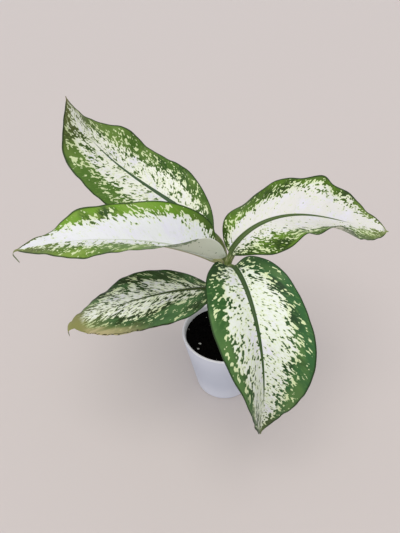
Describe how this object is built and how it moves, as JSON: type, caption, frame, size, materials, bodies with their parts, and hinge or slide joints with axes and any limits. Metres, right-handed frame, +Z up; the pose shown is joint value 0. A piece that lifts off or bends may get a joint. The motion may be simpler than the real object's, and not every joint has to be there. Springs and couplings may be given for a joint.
{
  "type": "potted dieffenbachia",
  "caption": "Potted houseplant: large waved leaves on clasping stalks around a short ringed cane, standing in soil in a plain tapered round pot with drain holes.",
  "frame": {"origin": "middle of the pot's flat underside, on the surface that it stands on", "axes": "+Z up, -Y to the side where the largest leaf hangs forward over the rim, +X to the side of the arching right leaf"},
  "size_m": [0.4177, 0.3157, 0.3966],
  "materials": {
    "pot_white": "matte",
    "soil_dark": "matte",
    "cane_green": "satin",
    "leaf_left_low_variegated": "satin",
    "leaf_front_variegated": "satin",
    "leaf_back_left_variegated": "satin",
    "leaf_right_variegated": "satin",
    "leaf_left_new_variegated": "satin"
  },
  "bodies": {
    "root": {"pot": "pot_white", "soil": "soil_dark", "cane": "cane_green", "leaf_left_low": "leaf_left_low_variegated", "leaf_front": "leaf_front_variegated", "leaf_back_left": "leaf_back_left_variegated", "leaf_right": "leaf_right_variegated", "leaf_left_new": "leaf_left_new_variegated"}
  },
  "joints": []
}
